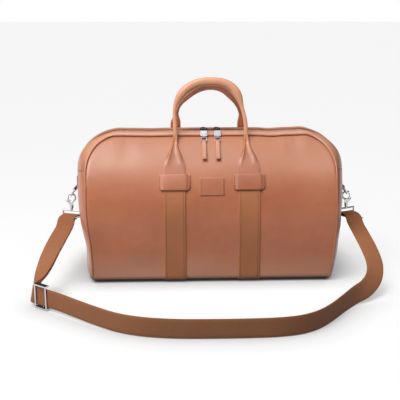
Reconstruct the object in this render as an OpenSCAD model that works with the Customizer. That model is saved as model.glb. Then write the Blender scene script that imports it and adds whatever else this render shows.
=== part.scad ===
// Weekender bag in smooth leather with two webbing bands, a two-way zip and a clip-on strap.
// Millimetres, +Z up, +X to the viewer's right, front face towards -Y, origin at the middle of the base.

/* [Body] */
// Widest part of the bag
body_w = 500; // [460:5:540]
// Height of the crown above the base
body_h = 266; // [240:2:290]
// Depth of the base, front to back
body_d = 236; // [200:2:260]
// Depth between the two top seams
top_d = 72; // [60:2:100]
// Thickness of the outer leather
leather = 2.4; // [1.6:0.2:3]
// Radius of the rolled bottom edge
edge_r = 14; // [8:1:18]
// Radius of the piping
piping_r = 2.6; // [2:0.2:3]

/* [Trim] */
// Distance of each webbing band from the middle
band_x = 67; // [50:1:90]
// Width of the webbing bands
band_w = 39; // [30:1:50]
// Thickness of the webbing
web_t = 1.6; // [1.2:0.1:2]
// Width of the leather keepers
keeper_w = 57; // [50:1:64]
// Height of the leather keepers
keeper_h = 26; // [20:1:32]
// Width of the small front patch
patch_w = 44; // [30:1:60]
// Height of the small front patch
patch_h = 30; // [20:1:40]

/* [Handles] */
// Half distance between the legs of a handle
leg_x = 65; // [55:1:75]
// Length of the front handle from hinge to crown, along its own plane
front_l = 108; // [90:1:130]
// Length of the back handle, which tucks under the front one
back_l = 105; // [90:1:130]
// How far the front handle leans in from upright, degrees
lean_front = 19.6; // [10:0.2:22]
// How far the back handle leans in from upright, degrees
lean_back = 27.4; // [14:0.2:34]
// Thickness of the grip at its crown
grip_d = 16; // [12:0.5:18]
// How much wider on each side the back handle's long necks are than the front's
flare_back = 6; // [0:0.5:7]

/* [Zip] */
// Half length of the straight part of the zip
zip_half = 160; // [140:1:164]
// Distance of each slider from the middle
slider_x = 12.5; // [11:0.5:20]

/* [Strap] */
// Width of the strap webbing
strap_w = 32; // [28:1:34]
// Distance of each hook from the middle plane
hook_x = 266.5; // [266:0.5:272]

/* [Hidden] */
$fn = 24;
g = 0.2;                      // gap between layers that are sewn together
z_b = 90;                     // height where the front is fullest
z_s = body_h - 7;             // height of the top seams
hd2 = body_d/2;
ht = top_d/2;
cx = body_w/2 - 78;           // centre of the round corner of the front outline
cz = z_s - 54;
rc = 54;
kx = body_w/2 - 85;           // corner ellipse of the crown line
kz = body_h - 70;
ka = 85;
kb = 69;

// half depth of the body at height z
function hd0(z) = z > z_b ? hd2 - (hd2 - ht)*pow((z - z_b)/(z_s - z_b), 2.6)
                          : hd2 - 4*pow((z_b - z)/z_b, 2);
function rnd(z) = z < edge_r ? edge_r - sqrt(max(0, edge_r*edge_r - (edge_r - z)*(edge_r - z))) : 0;
function hd(z) = hd0(max(z, edge_r)) - rnd(z);
function slope(z) = (hd(z + 0.5) - hd(z - 0.5));
function nrm(z) = let(s = slope(z), l = sqrt(1 + s*s)) [1/l, -s/l];
// a point of the profile, off millimetres outside the leather: [depth, height]
function prof(z, off) = z < edge_r + 1
    ? let(a = asin(max(-1, min(1, (z - edge_r)/edge_r))), c = hd0(edge_r) - edge_r)
      [c + (edge_r + off)*cos(a), edge_r + (edge_r + off)*sin(a)]
    : [hd(z) + off*nrm(z)[0], z + off*nrm(z)[1]];

// half width of the front outline below its corner, and of the crown line
z_w = 150;                    // height above which the ends stand straight
function taper(z, d, e) = d*pow(max(0, z_w - z)/z_w, e);
function xf(z) = cx + rc - taper(z, 10, 1.4) - (z < 20 ? 7*(1 - sqrt(1 - pow((20 - z)/20, 2))) : 0);
function xc(z) = body_w/2 - taper(z, 15, 1.3) - rnd(z);

zs = concat([6, 8, 10, 12, 14, 17, 20], [for (z = [30:10:80]) z], [for (z = [90:10:cz - 1]) z]);
th_c = [for (i = [0:12]) 90 - i*7.5];
// right half of the front outline, pulled in by d, bottom to top: [x, z]
function outline(d) = concat([for (z = zs) [xf(z) - d, z]],
                             [for (t = th_c) [cx + (rc - d)*sin(t), cz + (rc - d)*cos(t)]]);
function mirror_x(l) = [for (i = [len(l)-1:-1:0]) [-l[i][0], l[i][1]]];
zp = concat(zs, [for (t = th_c) cz + rc*cos(t)]);
zup = [for (z = zp) if (z > edge_r + 1) z];
zlo = [for (a = [-35:5:0]) edge_r + edge_r*sin(a)];

module along_x(h) { rotate([90, 0, 90]) linear_extrude(height = h, center = true) children(); }
module along_y(h) { rotate([90, 0, 0]) linear_extrude(height = h, center = true) children(); }

// a band of the front surface between two offsets and two heights, as a [y, z] shape
module skin2d(z0, z1, o0, o1) {
    st = concat([z0], [for (z = concat(zlo, zup)) if (z > z0 + 0.5 && z < z1 - 0.5) z], [z1]);
    a = [for (z = st) let(p = prof(z, o1)) [-p[0], p[1]]];
    b = [for (i = [len(st)-1:-1:0]) let(p = prof(st[i], o0)) [-p[0], p[1]]];
    polygon(concat(a, b));
}

// closed surface from two grids of points of the same size
module slab(A, B) {
    r = len(A); c = len(A[0]); n = r*c;
    pts = concat([for (row = A) for (p = row) p], [for (row = B) for (p = row) p]);
    f1 = [for (i = [0:r-2]) for (j = [0:c-2]) each [[i*c+j, i*c+j+1, (i+1)*c+j+1], [i*c+j, (i+1)*c+j+1, (i+1)*c+j]]];
    f2 = [for (f = f1) [f[2]+n, f[1]+n, f[0]+n]];
    e1 = [for (j = [0:c-2]) each [[j+1, j, n+j], [j+1, n+j, n+j+1]]];
    e2 = [for (j = [0:c-2]) let(a = (r-1)*c+j) each [[a, a+1, n+a], [a+1, n+a+1, n+a]]];
    e3 = [for (i = [0:r-2]) let(a = i*c, b = (i+1)*c) each [[a, b, n+a], [b, n+b, n+a]]];
    e4 = [for (i = [0:r-2]) let(a = i*c+c-1, b = (i+1)*c+c-1) each [[b, a, n+a], [b, n+a, n+b]]];
    polyhedron(pts, concat(f1, f2, e1, e2, e3, e4), convexity = 8);
}
function unit(v) = v/max(norm(v), 1e-9);
// tube along points P, with a closed section given at each point as 3-D offsets
module tube(R) {
    r = len(R); c = len(R[0]);
    pts = [for (row = R) for (p = row) p];
    s = [for (i = [0:r-2]) for (j = [0:c-1]) let(k = (j+1)%c) each [[(i+1)*c+k, i*c+k, i*c+j], [(i+1)*c+j, (i+1)*c+k, i*c+j]]];
    polyhedron(pts, concat([[for (j = [0:c-1]) j]], s, [[for (j = [c-1:-1:0]) (r-1)*c+j]]), convexity = 8);
}
function tang(P, i) = unit(P[min(i+1, len(P)-1)] - P[max(i-1, 0)]);
function ringof(P, i, ref, a, b, n) = let(t = tang(P, i), u = unit(ref - (ref*t)*t), v = cross(t, u))
    [for (k = [0:n-1]) let(w = 360*k/n + 180/n) P[i] + a*cos(w)*u + b*sin(w)*v];
function flat(P, i, W, w, t) = let(d = tang(P, i), u = unit(W[i] - (W[i]*d)*d), v = cross(d, u))
    [P[i] - u*w/2 - v*t/2, P[i] + u*w/2 - v*t/2, P[i] + u*w/2 + v*t/2, P[i] - u*w/2 + v*t/2];
// smooth curve through points, m steps between each pair
function cat(P, m) = concat([for (i = [0:len(P)-2]) for (k = [0:m-1]) let(t = k/m,
    a = P[max(i-1, 0)], b = P[i], c = P[i+1], d = P[min(i+2, len(P)-1)])
    0.5*((2*b) + (c - a)*t + (2*a - 5*b + 4*c - d)*t*t + (3*b - a - 3*c + d)*t*t*t)], [P[len(P)-1]]);

c_leather = [0.78, 0.5, 0.37];
c_web = [0.72, 0.47, 0.27];
c_metal = [0.8, 0.8, 0.82];
c_dark = [0.33, 0.22, 0.18];

// ---------------------------------------------------------------- shell
module front_panel() color(c_leather) intersection() {
    along_x(body_w) skin2d(6, z_s, -leather, 0);
    along_y(body_d + 60) polygon(concat(outline(2.9), mirror_x(outline(2.9))));
}
module back_panel() mirror([0, 1, 0]) front_panel();

// everything below the panels, made smaller by d on all sides
module low_shape(d) intersection() {
    along_x(body_w) polygon(concat([for (z = [0:1:6]) [-prof(z, 0)[0] + d, z + d]], [for (z = [6:-1:0]) [prof(z, 0)[0] - d, z + d]]));
    along_y(body_d + 60) polygon(concat([for (z = [0:1:6]) [-xc(z) + d, z + d]], [for (z = [6:-1:0]) [xc(z) - d, z + d]]));
    linear_extrude(height = 20, center = true) polygon(concat(
        [for (t = [-1:0.1:1]) [xf(6) + (xc(6) - xf(6))*bul(t) - d, t*(hd(6) - d)]],
        [for (t = [1:-0.1:-1]) [-xf(6) - (xc(6) - xf(6))*bul(t) + d, t*(hd(6) - d)]]));
}
module bottom_panel() color(c_leather) difference() {
    low_shape(0);
    low_shape(2.6);
    translate([0, 0, 10 + 5.8]) cube([600, 400, 20], center = true);
}

// roundness of the ends and of the zip gusset across the depth, t from -1 to 1
function bul(t) = pow(max(0, 1 - t*t), 0.6);
ts = [-1, -0.94, -0.84, -0.7, -0.5, -0.25, 0, 0.25, 0.5, 0.7, 0.84, 0.94, 1];
function end_pt(v, t, off) = let(zt = cz + (kz - cz)*bul(t) - 0.3, z = 6.2 + (zt - 6.2)*v)
    [xf(z) + (xc(z) - xf(z))*bul(t) - off, t*(hd(z) - 3.2 - off*0.6), z];
module end_panel_right() color(c_leather) {
    vs = [0, 0.01, 0.03, 0.06, 0.12, 0.2, 0.3, 0.4, 0.5, 0.6, 0.7, 0.8, 0.9, 1];
    slab([for (v = vs) [for (t = ts) end_pt(v, t, 0)]], [for (v = vs) [for (t = ts) end_pt(v, t, leather)]]);
}
module end_panel_left() mirror([1, 0, 0]) end_panel_right();

module lining() color(c_dark) difference() {
    intersection() {
        along_x(2*208) lin2d(2.7, 5.9, 256);
        along_y(body_d) polygon(concat(outline(14), mirror_x(outline(14))));
    }
    intersection() {
        along_x(2*206.8) lin2d(3.9, 7.1, 262);
        along_y(body_d) polygon(concat(outline(15.2), [[150, 270]], [[-150, 270]], mirror_x(outline(15.2))));
    }
}
module lin2d(o, z0, z1) {
    st = concat([z0], [for (z = zup) if (z < z1 - 1) z], [z1]);
    polygon(concat([for (z = st) [-(hd(z) - o/nrm(z)[0]), z]], [for (i = [len(st)-1:-1:0]) let(z = st[i]) [hd(z) - o/nrm(z)[0], z]]));
}
module base_board() color([0.25, 0.2, 0.17]) translate([0, 0, 2.8]) linear_extrude(height = 2.8)
    offset(r = 6) square([380, 178], center = true);

// ---------------------------------------------------------------- piping
pp = concat([for (z = zs) if (z > 6) [xf(z), -(hd(z) - 0.3), z]],
            [for (t = th_c) let(z = cz + rc*cos(t)) [cx + rc*sin(t), -(hd(z) - 0.3), z]]);
pipe_path = concat(pp, [for (x = [160:-40:-160]) [x, -(ht - 0.3), z_s]], [for (i = [len(pp)-1:-1:0]) [-pp[i][0], pp[i][1], pp[i][2]]]);
module piping_front() color(c_leather) tube([for (i = [0:len(pipe_path)-1]) ringof(pipe_path, i, [0, -1, 0.02], piping_r, piping_r, 8)]);
module piping_back() mirror([0, 1, 0]) piping_front();

// ---------------------------------------------------------------- zip gusset
// A is the seam, C the crown line; s runs from the end of the straight part to the end of the zip
function gA(s) = s < 0 ? [zip_half + 0.3, z_s] : [cx + rc*sin(s), cz + rc*cos(s)];
function gC(s) = s < 0 ? [zip_half + 0.3, body_h - 1] : [kx + ka*sin(s), kz + kb*cos(s)];
function gn(s) = s < 0 ? [0, 1] : unit([sin(s), cos(s)]);
// point of the gusset at depth y, lifted by h: y is measured from the middle
function gp(s, y, h) = let(a = gA(s), c = gC(s), n = gn(s), hy = hd(a[1]) - 3.2, t = min(1, abs(y)/hy), b = bul(t))
    [a[0] + (c[0] - a[0])*b + n[0]*h, y, a[1] + (c[1] - a[1])*b + n[1]*h];
ss = concat([-1], [for (i = [0:10]) i*9]);
module gusset_front_right() color(c_leather) {
    us = [0, 0.12, 0.3, 0.6, 0.85, 1];
    hs = [0, 1.6, 2.6, 2.5, 2.0, 1.0];
    slab([for (s = ss) let(hy = hd(gA(s)[1]) - 3.2) [for (k = [0:5]) let(y = -hy + (hy - 17)*us[k]) gp(s, y, hs[k])]],
         [for (s = ss) let(hy = hd(gA(s)[1]) - 3.2) [for (k = [0:5]) let(y = -hy + (hy - 17)*us[k]) gp(s, y, hs[k] - 2.2)]]);
}
module gusset_front_left() mirror([1, 0, 0]) gusset_front_right();
module gusset_back_right() mirror([0, 1, 0]) gusset_front_right();
module gusset_back_left() mirror([1, 0, 0]) gusset_back_right();

module flap2d() {
    hy = ht - 3.2;
    us = [0, 0.12, 0.3, 0.6, 0.85, 1];
    hs = [0, 1.6, 2.6, 2.5, 2.0, 1.0];
    o = [for (k = [0:5]) let(y = -hy + (hy - 17)*us[k], p = gp(-1, y, hs[k])) [y, p[2]]];
    i = [for (k = [5:-1:0]) let(y = -hy + (hy - 17)*us[k], p = gp(-1, y, hs[k] - 2.2)) [y, p[2]]];
    polygon(concat(o, i));
}
module gusset_front() color(c_leather) along_x(2*zip_half) flap2d();
module gusset_back() mirror([0, 1, 0]) gusset_front();

tape_z = body_h - 5.2;
module zip_tape_front() color(c_dark) translate([-zip_half, -19, tape_z]) cube([2*zip_half, 16.2, 0.8]);
module zip_tape_back() mirror([0, 1, 0]) zip_tape_front();
module zip_teeth_front() color(c_metal) union() {
    translate([-zip_half + 1, -4.6, tape_z + 0.9]) cube([2*zip_half - 2, 1.6, 1.5]);
    for (x = [-zip_half + 3:8:zip_half - 5]) if (abs(x + 1.8) > 14) translate([x, -3.4, tape_z + 0.9]) cube([3.6, 3.2, 1.5]);
}
module zip_teeth_back() color(c_metal) union() {
    translate([-zip_half + 1, 3.0, tape_z + 0.9]) cube([2*zip_half - 2, 1.6, 1.5]);
    for (x = [-zip_half + 3:8:zip_half - 5]) if (abs(x + 1.8) > 14) translate([x, 0.2, tape_z + 0.9]) cube([3.6, 3.2, 1.5]);
}
// the closed part of the zip that runs over each corner and down the end
function tp(s, y, h) = let(c = gC(s), n = gn(s)) [c[0] + n[0]*h, y, c[1] + n[1]*h];
module zip_end_right() color(c_dark)
    slab([for (s = ss) [for (y = [-19, -9, 0, 9, 19]) tp(s, y, -3.4)]], [for (s = ss) [for (y = [-19, -9, 0, 9, 19]) tp(s, y, -4.2)]]);
module zip_end_left() mirror([1, 0, 0]) zip_end_right();
module zip_chain_right() color(c_metal)
    slab([for (s = ss) [for (y = [-3.6, -1.8, 0, 1.8, 3.6]) tp(s, y, -1.8)]], [for (s = ss) [for (y = [-3.6, -1.8, 0, 1.8, 3.6]) tp(s, y, -3.1)]]);
module zip_chain_left() mirror([1, 0, 0]) zip_chain_right();

// slider: two plates joined at the nose, which faces the middle, and a bridge that holds the pull
sz = tape_z + 0.9;            // underside of the teeth
module plate2d() polygon([[-9.6, -2.6], [-5, -5.4], [5, -5.4], [6.5, -4.4], [6.5, 4.4], [5, 5.4], [-5, 5.4], [-9.6, 2.6]]);
module zip_slider_right() color(c_metal) translate([slider_x, 0, 0]) difference() {
    union() {
        translate([0, 0, sz + 2.5]) linear_extrude(height = 1.1) plate2d();
        translate([0, 0, sz - 3.4]) linear_extrude(height = 1.2) plate2d();
        translate([-8.0, 0, sz]) cube([2.8, 2.8, 6.6], center = true);
        for (x = [-4.0, 2.8]) translate([x, -1.8, sz + 3.3]) cube([1.2, 3.6, 3.7]);
        translate([-4.0, -1.8, sz + 6.4]) cube([8.0, 3.6, 1.2]);
    }
    translate([0, 0, pull_z]) rotate([0, 90, 0]) cylinder(r = 0.92, h = 20, center = true);
}
module zip_slider_left() mirror([1, 0, 0]) zip_slider_right();

// pull plate, hinged under the bridge and bent over the front rim; eye_y, eye_z is its lower eye
pull_z = sz + 5.0;
eye_y = -ht - 7.0;
eye_z = z_s - 2.6;
module pull_arm(w) along_x(w) polygon([[1.2, pull_z - 0.8], [1.2, pull_z + 0.8], [-ht + 2, pull_z + 0.8], [eye_y + 0.1, eye_z + 1.6], [eye_y + 1.5, eye_z + 0.9], [-ht + 2.6, pull_z - 0.8]]);
module pull_plate_right() color(c_metal) translate([slider_x, 0, 0]) difference() {
    union() {
        translate([0, 0, pull_z]) rotate([0, 90, 0]) cylinder(r = 0.8, h = 12.4, center = true);
        intersection() {
            pull_arm(12.4);
            union() {
                for (k = [-1, 1]) translate([k*5.3, 0, pull_z]) cube([1.8, 200, 40], center = true);
                translate([0, -57.5, pull_z]) cube([20, 100, 40], center = true);
            }
        }
        translate([0, eye_y, eye_z]) rotate([0, 90, 0]) cylinder(r = 1.9, h = 5, center = true);
    }
    translate([0, eye_y, eye_z]) rotate([0, 90, 0]) cylinder(r = 0.86, h = 30, center = true);
    for (k = [-1, 1]) translate([k*6.6, eye_y - 0.2, eye_z]) cube([8, 5.2, 5.6], center = true);
}
module pull_plate_left() mirror([1, 0, 0]) pull_plate_right();

// link and leather tab that lie down the slope of the front
fall_a = 42.5;                // how steeply the tab lies down the front, degrees below level
module pull_link_right() color(c_metal) translate([slider_x, eye_y, eye_z]) rotate([fall_a, 0, 0]) union() {
    rotate([0, 90, 0]) cylinder(r = 0.8, h = 9.6, center = true);
    for (k = [-1, 1]) translate([k*4.8, 0, 0]) { rotate([90, 0, 0]) cylinder(r = 0.8, h = 10); sphere(r = 0.8); translate([0, -10, 0]) sphere(r = 0.8); }
    translate([0, -10, 0]) rotate([0, 90, 0]) cylinder(r = 0.8, h = 9.6, center = true);
}
module pull_link_left() mirror([1, 0, 0]) pull_link_right();
module pull_tab_right() color(c_leather) translate([slider_x, eye_y, eye_z]) rotate([fall_a, 0, 0]) difference() {
    union() {
        translate([0, -10, 0]) rotate([0, 90, 0]) cylinder(r = 1.6, h = 7.4, center = true);
        translate([-4, -50, -1.2]) cube([8, 39, 2.4]);
    }
    translate([0, -10, 0]) rotate([0, 90, 0]) cylinder(r = 0.86, h = 30, center = true);
}
module pull_tab_left() mirror([1, 0, 0]) pull_tab_right();

// ---------------------------------------------------------------- bands, keepers, patch and handle tabs
keeper_z0 = 170;
keeper_z1 = keeper_z0 + keeper_h;
module band_front_right() color(c_web) translate([band_x, 0, 0]) along_x(band_w) skin2d(6.4, keeper_z0 + 13, 0.1, 0.1 + web_t);
module band_front_left() mirror([1, 0, 0]) band_front_right();
module band_back_right() mirror([0, 1, 0]) band_front_right();
module band_back_left() mirror([1, 0, 0]) band_back_right();

module keeper_front_right() color(c_leather) translate([band_x, 0, 0]) union() {
    along_x(band_w + 6) skin2d(keeper_z0, keeper_z1, 2.6, 4.6);
    for (k = [-1, 1]) {
        translate([k*(band_w/2 + 2.6), 0, 0]) along_x(3.2) skin2d(keeper_z0, keeper_z1, 0.1, 4.6);
        translate([k*(keeper_w/2 + band_w/2 + 2)/2, 0, 0]) along_x(keeper_w/2 - band_w/2 - 2) skin2d(keeper_z0, keeper_z1, 0.1, 2.3);
    }
}
module keeper_front_left() mirror([1, 0, 0]) keeper_front_right();
module keeper_back_right() mirror([0, 1, 0]) keeper_front_right();
module keeper_back_left() mirror([1, 0, 0]) keeper_back_right();

module patch() color(c_leather) intersection() {
    along_x(patch_w) skin2d(161, 161 + patch_h, 0.1, 1.5);
    along_y(body_d + 60) polygon([[-patch_w/2, 163], [-patch_w/2 + 2, 161], [patch_w/2 - 2, 161], [patch_w/2, 163], [patch_w/2, 159 + patch_h], [patch_w/2 - 2, 161 + patch_h], [-patch_w/2 + 2, 161 + patch_h], [-patch_w/2, 159 + patch_h]]);
}

// bottle-shaped end of a handle, sewn to the front
tab_z0 = keeper_z0 + 14;
tab_z1 = z_s - 14;
// with its neck f millimetres wider at each side
module sewn_end(f) translate([leg_x + 2, 0, 0]) intersection() {
    along_x(band_w + 4) skin2d(tab_z0, tab_z1, 0.1, 2.3);
    along_y(body_d + 60) polygon([[-19.5, tab_z0], [19.5, tab_z0], [19.5, 217], [18.4 + 0.07*f, 224], [15.4 + 0.35*f, 230],
                                  [11 + 0.7*f, 236], [6.6 + 1.1*f, tab_z1], [-8.6 - 1.1*f, tab_z1], [-12.2 - 0.7*f, 236],
                                  [-15.8 - 0.35*f, 230], [-18.4 - 0.07*f, 224], [-19.5, 217]]);
}
// the sewn end and the soft neck above it, which leans a degrees from upright
neck_s = [0, 12, 24, 36];
module handle_end(arch, a, f) color(c_leather) union() {
    sewn_end(f);
    P = concat([[leg_x + 1, -hd(tab_z1 - 3) - 1.4, tab_z1 - 2.4], [leg_x + 0.6, -hd(249) - 1.8, 250.4]], [for (s = neck_s) lean([arch_x(s, arch), s], a)]);
    thick = concat([1, 1.7], [for (s = neck_s) half_w(s)]);
    wide = concat([6.2 + 1.1*f, 5.2 + 1.15*f], [for (s = neck_s) neck_w(s, f)]);
    tube([for (i = [0:5]) ringof(P, i, [0, -cos(a), sin(a)], 0.94*thick[i], wide[i], 10)]);
}
module handle_tab_front_right() handle_end(front_arch, lean_front, 0);
module handle_tab_front_left() mirror([1, 0, 0]) handle_tab_front_right();
module handle_tab_back_right() mirror([0, 1, 0]) handle_end(back_arch, lean_back, flare_back);
module handle_tab_back_left() mirror([1, 0, 0]) handle_tab_back_right();

// ---------------------------------------------------------------- handles
hinge_z = z_s - 5.2;
hinge_yy = -(hd(z_s - 9) + 3.3);
// An arch is [length, squareness, height where it springs from the legs]; x of its path at height s
front_arch = [front_l, 2.5, 24];
back_arch = [back_l, 1.8, 12];
function arch_x(s, p) = s <= p[2] ? leg_x : leg_x*pow(max(0, 1 - pow((s - p[2])/(p[0] - p[2]), p[1])), 1/p[1]);
// the stuffed part, from one neck to the other: [x, along]
grip_s0 = 37;
function grip_half(p) = concat([[arch_x(grip_s0, p), grip_s0]],
    [for (a = [7.5:7.5:90]) let(s = p[2] + (p[0] - p[2])*pow(sin(a), 2/p[1])) if (s > grip_s0 + 3) [leg_x*pow(cos(a), 2/p[1]), s]]);
function grip_path(h) = concat(h, [for (i = [len(h)-2:-1:0]) [-h[i][0], h[i][1]]]);
function lean(p, a) = [p[0], hinge_yy + p[1]*sin(a), hinge_z + p[1]*cos(a)];
function smooth(a, b, x) = let(t = min(1, max(0, (x - a)/(b - a)))) t*t*(3 - 2*t);
// half width of a handle, s millimetres above its hinge, without and with a flared neck
function half_w(s) = 3.7 + (grip_d/2 - 3.9)*smooth(58, 96, s);
function neck_w(s, f) = half_w(s) + f*(1 - smooth(20, 46, s));
module handle(arch, a, f) {
    path = grip_path(grip_half(arch));
    P = [for (p = path) lean(p, a)];
    tube([for (i = [0:len(P)-1]) let(s = path[i][1]) ringof(P, i, [0, -cos(a), sin(a)], half_w(s)*0.94, neck_w(s, f), 10)]);
}
module handle_front() color(c_leather) handle(front_arch, lean_front, 0);
module handle_back() color(c_leather) mirror([0, 1, 0]) handle(back_arch, lean_back, flare_back);

// ---------------------------------------------------------------- strap hardware
bar = [hook_x - 9.4, 153];          // hinge of the D-ring: [x, z]
wire = [hook_x - 0.4, 138];         // lowest wire of the D-ring
hole = [hook_x, 134];               // middle of the hook's hole
dl = norm(wire - bar);
da = atan2(wire[0] - bar[0], bar[1] - wire[1]);
module chape_right() color(c_leather) difference() {
    union() {
        translate([bar[0], 0, bar[1]]) rotate([90, 0, 0]) cylinder(r = 3.6, h = 20, center = true);
        translate([body_w/2 + 0.4, -12, bar[1]]) cube([2.2, 24, 25]);
        translate([body_w/2 + 0.9, -10, bar[1] + 1]) cube([5.6, 20, 5]);
    }
    translate([bar[0], 0, bar[1]]) rotate([90, 0, 0]) cylinder(r = 1.66, h = 40, center = true);
}
module chape_left() mirror([1, 0, 0]) chape_right();
module dring_right() color(c_metal) translate([bar[0], 0, bar[1]]) rotate([0, -da, 0]) union() {
    rotate([90, 0, 0]) cylinder(r = 1.6, h = 26, center = true);
    for (k = [-1, 1]) translate([0, k*13, 0]) { sphere(r = 1.6); translate([0, 0, -(dl - 13)]) cylinder(r = 1.6, h = dl - 13); }
    translate([0, 0, -(dl - 13)]) rotate([0, 90, 0]) rotate([0, 0, -90]) rotate_extrude(angle = 180) translate([13, 0]) circle(r = 1.6);
}
module dring_left() mirror([1, 0, 0]) dring_right();

// trigger hook: an open ring with a spring gate, and a shank that turns on the eye's post
sweep = 250;
module hook_right() color(c_metal) difference() {
    translate([hole[0], 0, hole[1]]) union() {
        rotate([90, 0, 0]) rotate([0, 0, 58]) rotate_extrude(angle = sweep) translate([7.75, 0]) circle(r = 1.75);
        along_y(7) polygon([[-3.6, -9.2], [-3.0, -7.4], [0, -6.7], [3.4, -6.4], [5.0, -6.9], [7.6, -5.9], [8.6, -4.2], [9.0, -6.4], [6.0, -10], [3.4, -12.4], [3.4, -14], [-3.4, -14], [-3.4, -11]]);
        translate([0, 0, -20.5]) cylinder(r = 3.6, h = 9);
    }
    translate([gate_p[0], 0, gate_p[1]]) rotate([90, 0, 0]) cylinder(r = 2.5, h = 4.4, center = true);
    translate([hole[0], 0, hole[1] - 24]) cylinder(r = 1.56, h = 9.5);
}
module hook_left() mirror([1, 0, 0]) hook_right();
gate_p = [hole[0] + 6.1, hole[1] - 4.5];
gate_t = [hole[0] + 5.0, hole[1] + 6.0];
gl = norm(gate_t - gate_p);
ga = atan2(gate_t[0] - gate_p[0], gate_t[1] - gate_p[1]);
module gate_right() color(c_metal) translate([gate_p[0], 0, gate_p[1]]) union() {
    rotate([90, 0, 0]) cylinder(r = 2.1, h = 4.0, center = true);
    rotate([0, ga, 0]) cylinder(r = 1.15, h = gl - 1.6);
}
module gate_left() mirror([1, 0, 0]) gate_right();

// eye: a rectangular loop on a post, turned ea degrees about the post
eye_top = 109;
module eye(ea) translate([hook_x, 0, 0]) rotate([0, 0, ea]) union() {
    translate([0, 0, eye_top]) cylinder(r = 1.5, h = hole[1] - 24 + 8.5 - eye_top);
    translate([0, 0, eye_top]) cylinder(r = 2.6, h = 3.2);
    for (z = [eye_top, eye_top - 10]) translate([0, 0, z]) rotate([0, 90, 0]) cylinder(r = 1.6, h = strap_w + 4.6, center = true);
    for (k = [-1, 1]) translate([k*(strap_w/2 + 2.3), 0, eye_top - 10]) { cylinder(r = 1.6, h = 10); sphere(r = 1.6); translate([0, 0, 10]) sphere(r = 1.6); }
}
module eye_right() color(c_metal) eye(er);
module eye_left() color(c_metal) translate([-2*hook_x, 0, 0]) eye(el);

// ---------------------------------------------------------------- strap
bz = eye_top - 10;
el = -20; er = 25;
fl = [sin(el), -cos(el), 0];  wl = [cos(el), sin(el), 0];
fr = [sin(er), -cos(er), 0];  wr = [-cos(er), -sin(er), 0];
BL = [-hook_x, 0, bz];
BR = [hook_x, 0, bz];
up = [0, 0, 1];
adj = [-288, -236, 21.6];
ae = unit([0.768, -0.64, 0]);
rb = 2.8;
// centre line of the main layer, left eye to right eye, and the direction of its width
SP = concat([BL - up*rb, BL - up*rb*0.7 - fl*rb*0.7, BL - fl*rb, BL + up*rb*0.7 - fl*rb*0.7, BL + up*rb, BL + fl*6 + up*rb, BL + fl*20 + up*1.2],
    [[-273, -58, 93], [-280, -100, 81], [-289, -138, 64], [-296, -172, 46], [-301, -200, 31], adj - ae*24 + up*0.8, adj - ae*12, adj, adj + ae*12, adj + ae*45, adj + ae*80 + [0, 0, -1.4],
     [-190, -317, 18.4], [-156, -340, 16.6], [-118, -357, 16.4], [-70, -367, 16.4], [-14, -370, 16.4], [42, -370, 16.4], [92, -367, 16.4], [128, -358, 16.4], [156, -340, 16.4], [182, -311, 16.4],
     [208, -275, 16.8], [234, -243, 19], [259, -219, 23], [278, -192, 33], [286, -162, 47], [284, -130, 63], [278, -92, 80], [274, -55, 92]],
    [BR + fr*20 + up*1.2, BR + fr*6 + up*rb, BR + up*rb, BR + up*rb*0.7 - fr*rb*0.7, BR - fr*rb, BR - up*rb*0.7 - fr*rb*0.7, BR - up*rb, BR + fr*8 - up*(rb - 0.3), BR + fr*20 - up*2.2, BR + fr*34 - up*4.6]);
SW = concat([for (i = [0:6]) wl],
    [[0.99, -0.12, 0], [1, 0, 0.02], [0.98, 0.05, 0.2], [0.85, 0.1, 0.52], [0.55, 0.1, 0.83], [0.16, 0, 0.98], up, up, up, up, up,
     up, up, up, up, up, up, up, up, up, up,
     [-0.05, 0, 1], [-0.25, 0, 0.97], [-0.6, 0, 0.8], [-0.86, -0.05, 0.5], [-0.97, -0.08, 0.2], [-0.99, -0.12, 0.05], [-0.98, -0.2, 0], [-0.95, -0.3, 0]],
    [for (i = [0:9]) wr]);
module strap() color(c_web) tube([for (i = [0:len(SP)-1]) flat(SP, i, SW, strap_w, web_t)]);
// layer that runs back from the left eye and is sewn round the middle bar of the adjuster
function nv(i) = unit(cross(tang(SP, i), SW[i]));
RP = concat([BL + fl*9 - up*(rb - 0.4)], [for (i = [6:12]) SP[i] - nv(i)*(i == 6 ? 4.4 : i > 9 ? 3.2 : 2.6)],
    [adj - ae*8 - nv(14)*3.4, adj - ae*4 - nv(14)*5.6, adj - nv(14)*6.2, adj + ae*2.6 - nv(14)*5.2, adj + ae*3.1 - nv(14)*3.2]);
RW = concat([wl], [for (i = [6:12]) SW[i]], [for (i = [0:4]) up]);
module strap_return() color(c_web) tube([for (i = [0:len(RP)-1]) flat(RP, i, RW, strap_w, web_t)]);
module adjuster() color(c_metal) translate(adj) rotate([0, 0, atan2(ae[1], ae[0])]) union() {
    // here +X runs along the strap and -Y points away from the bag
    for (x = [-13, 13]) translate([x, -2.7, -18.5]) cylinder(r = 1.5, h = 37);
    translate([0, 3.2, -18.5]) cylinder(r = 1.4, h = 37);
    for (z = [-19.6, 19.6]) translate([0, 0.1, z]) cube([29, 8.8, 2.6], center = true);
}

/* [Hidden] */

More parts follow.
